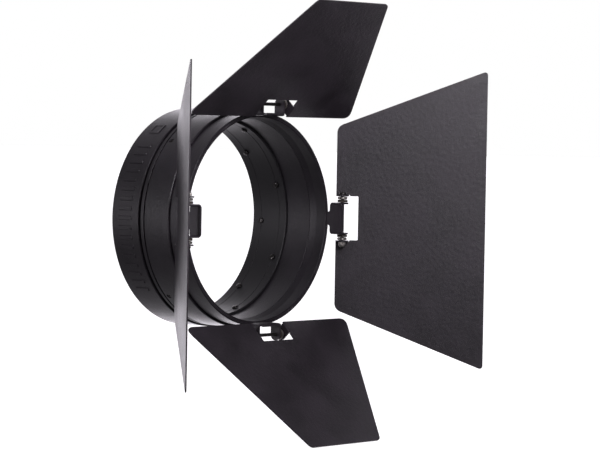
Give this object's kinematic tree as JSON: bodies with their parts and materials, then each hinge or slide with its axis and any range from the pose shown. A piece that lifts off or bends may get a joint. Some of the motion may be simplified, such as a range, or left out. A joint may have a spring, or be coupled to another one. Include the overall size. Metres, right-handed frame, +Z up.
{
  "type": "barn door attachment",
  "caption": "Round stage-light barn door: a drum with a turning rim and friction-hinged leaves that shape the edges of the beam.",
  "frame": {"origin": "centre of the rear mouth, in the plane of the rear face", "axes": "+Y along the beam axis towards the lamp, so the beam leaves along -Y; +Z up; +X across"},
  "size_m": [0.3868, 0.1949, 0.3828],
  "materials": {
    "powder_coat_sheet": "satin fine-texture powder coat on steel sheet",
    "powder_coat_cast": "satin black powder coat on cast aluminium",
    "liner_black": "semi-matte black",
    "black_screw": "black oxide",
    "zinc_steel": "bright zinc",
    "friction_fibre": "matte pressed fibre"
  },
  "bodies": {
    "drum": {"rear_shell": "powder_coat_cast", "front_shell": "powder_coat_cast", "liner": "liner_black", "liner_screw_front_1": "black_screw", "liner_screw_front_2": "black_screw", "liner_screw_front_3": "black_screw", "liner_screw_front_4": "black_screw", "liner_screw_front_5": "black_screw", "liner_screw_front_6": "black_screw", "liner_screw_front_7": "black_screw", "liner_screw_front_8": "black_screw", "liner_screw_rear_1": "black_screw", "liner_screw_rear_2": "black_screw", "liner_screw_rear_3": "black_screw", "liner_screw_rear_4": "black_screw", "liner_screw_rear_5": "black_screw", "liner_screw_rear_6": "black_screw", "liner_screw_rear_7": "black_screw", "liner_screw_rear_8": "black_screw", "guide_screw_1": "black_screw", "guide_screw_2": "black_screw", "guide_screw_3": "black_screw", "guide_screw_4": "black_screw"},
    "rim": {"hinge_hoop": "powder_coat_sheet", "rim_band": "powder_coat_cast", "inner_band": "powder_coat_cast", "disc_top_a": "friction_fibre", "disc_top_b": "friction_fibre", "disc_right_a": "friction_fibre", "disc_right_b": "friction_fibre", "disc_bottom_a": "friction_fibre", "disc_bottom_b": "friction_fibre", "disc_left_a": "friction_fibre", "disc_left_b": "friction_fibre", "washer_top_a": "zinc_steel", "washer_top_b": "zinc_steel", "washer_right_a": "zinc_steel", "washer_right_b": "zinc_steel", "washer_bottom_a": "zinc_steel", "washer_bottom_b": "zinc_steel", "washer_left_a": "zinc_steel", "washer_left_b": "zinc_steel"},
    "top_leaf": {"leaf_top": "powder_coat_sheet", "bolt_top": "black_screw", "nut_top": "zinc_steel"},
    "right_leaf": {"leaf_right": "powder_coat_sheet", "bolt_right": "black_screw", "nut_right": "zinc_steel"},
    "bottom_leaf": {"leaf_bottom": "powder_coat_sheet", "bolt_bottom": "black_screw", "nut_bottom": "zinc_steel"},
    "left_leaf": {"leaf_left": "powder_coat_sheet", "bolt_left": "black_screw", "nut_left": "zinc_steel"}
  },
  "joints": [
    {"name": "rim_turn", "type": "hinge", "parent": "drum", "child": "rim", "pos_m": [0, 0, 0], "axis": [0, 1, 0], "continuous": true},
    {"name": "top_leaf_hinge", "type": "hinge", "parent": "rim", "child": "top_leaf", "pos_m": [0, -0.0964, 0.1025], "axis": [1, 0, 0], "range_deg": [-103.5, 136]},
    {"name": "right_leaf_hinge", "type": "hinge", "parent": "rim", "child": "right_leaf", "pos_m": [0.1025, -0.0964, 0], "axis": [0, 0, 1], "range_deg": [-109.5, 92.5]},
    {"name": "bottom_leaf_hinge", "type": "hinge", "parent": "rim", "child": "bottom_leaf", "pos_m": [0, -0.0964, -0.1025], "axis": [1, 0, 0], "range_deg": [-136, 103.5]},
    {"name": "left_leaf_hinge", "type": "hinge", "parent": "rim", "child": "left_leaf", "pos_m": [-0.1025, -0.0964, 0], "axis": [0, 0, 1], "range_deg": [-88, 114]}
  ]
}
